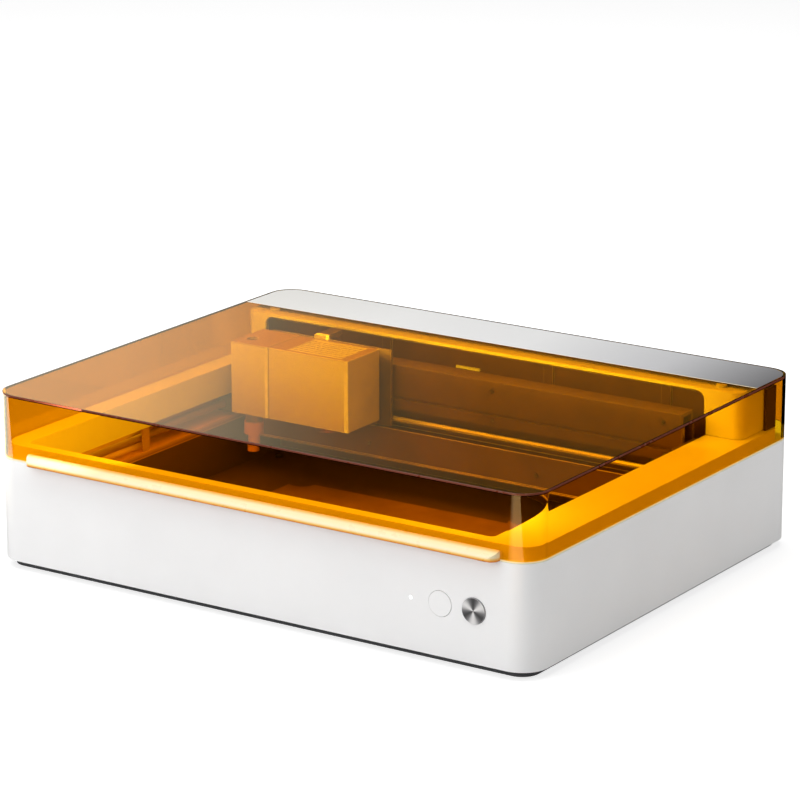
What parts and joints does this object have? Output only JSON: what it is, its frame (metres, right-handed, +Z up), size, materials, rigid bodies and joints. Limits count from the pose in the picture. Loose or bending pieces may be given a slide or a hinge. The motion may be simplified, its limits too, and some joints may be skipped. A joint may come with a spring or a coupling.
{
  "type": "desktop laser cutter",
  "caption": "Low rounded desktop laser cutter with a tinted lift-up lid, a sunk work chamber, a belt-driven gantry with a two-part tool head, front buttons and a rear exhaust collar.",
  "frame": {"origin": "on the floor under the centre of the footprint, with the handle lip at the front and the exhaust collar at the back standing out equally", "axes": "+X to the right along the long side, +Y from the front to the back, +Z up"},
  "size_m": [0.553, 0.461, 0.1583],
  "materials": {
    "rubber": "matte",
    "pan_grey": "satin",
    "casing_white": "satin",
    "deck_white": "satin",
    "chamber_bronze": "satin",
    "rail_steel": "polished",
    "mount_dark": "satin",
    "belt_black": "matte",
    "motor_black": "satin",
    "board_green": "satin",
    "led_clear": "gloss",
    "socket_black": "matte",
    "socket_metal": "satin",
    "collar_grey": "matte",
    "button_metal": "spun",
    "button_white": "satin",
    "amber_acrylic": "polished",
    "strip_silver": "satin",
    "handle_amber": "frosted",
    "beam_bronze": "anodised",
    "bearing_grey": "matte",
    "bronze": "satin",
    "head_pale": "satin",
    "grille_pale": "satin",
    "lens_glass": "polished",
    "sink_aluminium": "satin",
    "nozzle_orange": "satin"
  },
  "bodies": {
    "base": {"feet": "rubber", "base_pan": "pan_grey", "casing": "casing_white", "deck_frame": "deck_white", "rear_housing": "casing_white", "rear_panel": "chamber_bronze", "chamber_liner": "chamber_bronze", "bed_panel": "chamber_bronze", "rail_rods": "rail_steel", "drive_mounts": "mount_dark", "y_belts": "belt_black", "y_motor": "motor_black", "mainboard": "board_green", "status_led": "led_clear", "power_inlet": "socket_black", "usb_port": "socket_metal", "exhaust_collar": "collar_grey", "exhaust_fan_frame": "socket_black", "hinge_brackets": "mount_dark", "hinge_dampers": "motor_black", "lid_bumpers": "rubber", "button_switches": "socket_black"},
    "lid": {"lid_shell": "amber_acrylic", "lid_strip": "strip_silver", "lid_handle": "handle_amber", "hinge_arms": "mount_dark", "hinge_pins": "rail_steel"},
    "gantry": {"x_beam": "beam_bronze", "x_rod": "rail_steel", "gantry_tray": "chamber_bronze", "gantry_ends": "mount_dark", "y_bearings": "bearing_grey", "x_motor": "motor_black", "x_belt": "belt_black", "gantry_screws": "socket_metal"},
    "carriage": {"x_carriage": "mount_dark", "x_bushings": "bronze", "z_guides": "rail_steel", "z_motor": "motor_black"},
    "head": {"laser_housing": "head_pale", "blade_housing": "head_pale", "vent_grille": "grille_pale", "head_ears": "mount_dark", "laser_barrel": "bronze", "focus_lens": "lens_glass", "heat_sink": "sink_aluminium", "head_fan_frame": "socket_black", "blade_holder": "sink_aluminium", "blade_nozzle": "nozzle_orange", "blade": "rail_steel"},
    "drive_shaft": {"y_shaft": "rail_steel"},
    "idlers": {"y_idlers": "socket_metal"},
    "motor_pulley": {"y_motor_pulley": "socket_metal"},
    "carriage_pulley": {"x_pulley": "socket_metal"},
    "carriage_idler": {"x_idler": "socket_metal"},
    "lead_screw": {"z_screw": "rail_steel"},
    "head_fan": {"head_fan_rotor": "socket_black"},
    "exhaust_fan": {"exhaust_rotor": "socket_black"},
    "power_button": {"power_button": "button_metal"},
    "mode_button": {"mode_button": "button_white"}
  },
  "joints": [
    {"name": "lid_hinge", "type": "hinge", "parent": "base", "child": "lid", "pos_m": [0, 0.213, 0.112], "axis": [-1, 0, 0], "range_deg": [0, 70]},
    {"name": "gantry_slide", "type": "slide", "parent": "base", "child": "gantry", "axis": [0, 1, 0], "range_m": [-0.243, 0.006]},
    {"name": "carriage_slide", "type": "slide", "parent": "gantry", "child": "carriage", "axis": [1, 0, 0], "range_m": [-0.027, 0.296]},
    {"name": "head_lift", "type": "slide", "parent": "carriage", "child": "head", "axis": [0, 0, 1], "range_m": [-0.012, 0]},
    {"name": "drive_shaft_spin", "type": "hinge", "parent": "base", "child": "drive_shaft", "pos_m": [0, -0.21, 0.0885], "axis": [1, 0, 0], "range_deg": [-2790, 74]},
    {"name": "idler_spin", "type": "hinge", "parent": "base", "child": "idlers", "pos_m": [0, 0.199, 0.0885], "axis": [1, 0, 0], "range_deg": [-2790, 74]},
    {"name": "motor_pulley_spin", "type": "hinge", "parent": "base", "child": "motor_pulley", "pos_m": [0.2525, -0.184, 0.0885], "axis": [1, 0, 0], "range_deg": [-2790, 74]},
    {"name": "carriage_pulley_spin", "type": "hinge", "parent": "gantry", "child": "carriage_pulley", "pos_m": [0.198, 0.122, 0.116], "axis": [0, 0, 1], "range_deg": [-349, 3774]},
    {"name": "carriage_idler_spin", "type": "hinge", "parent": "gantry", "child": "carriage_idler", "pos_m": [-0.228, 0.122, 0.116], "axis": [0, 0, 1], "range_deg": [-349, 3774]},
    {"name": "lead_screw_spin", "type": "hinge", "parent": "carriage", "child": "lead_screw", "pos_m": [-0.151, 0.1006, 0.078], "axis": [0, 0, 1], "range_deg": [-545, 5]},
    {"name": "head_fan_spin", "type": "hinge", "parent": "head", "child": "head_fan", "pos_m": [-0.12765, 0.076, 0.127], "axis": [0, 0, 1], "continuous": true},
    {"name": "exhaust_fan_spin", "type": "hinge", "parent": "base", "child": "exhaust_fan", "pos_m": [-0.11, 0.191, 0.053], "axis": [0, 1, 0], "continuous": true},
    {"name": "power_button_press", "type": "slide", "parent": "base", "child": "power_button", "axis": [0, 1, 0], "range_m": [0, 0.002], "stiffness_N_per_m": 600, "springref_m": -0.001},
    {"name": "mode_button_press", "type": "slide", "parent": "base", "child": "mode_button", "axis": [0, 1, 0], "range_m": [0, 0.002], "stiffness_N_per_m": 600, "springref_m": -0.001}
  ],
  "couplings": [
    {"joint": "drive_shaft_spin", "follows": "gantry_slide", "rad_per_m": 200},
    {"joint": "idler_spin", "follows": "gantry_slide", "rad_per_m": 200},
    {"joint": "motor_pulley_spin", "follows": "gantry_slide", "rad_per_m": 200},
    {"joint": "carriage_pulley_spin", "follows": "carriage_slide", "rad_per_m": 222.22},
    {"joint": "carriage_idler_spin", "follows": "carriage_slide", "rad_per_m": 222.22},
    {"joint": "lead_screw_spin", "follows": "head_lift", "rad_per_m": 785.4}
  ]
}
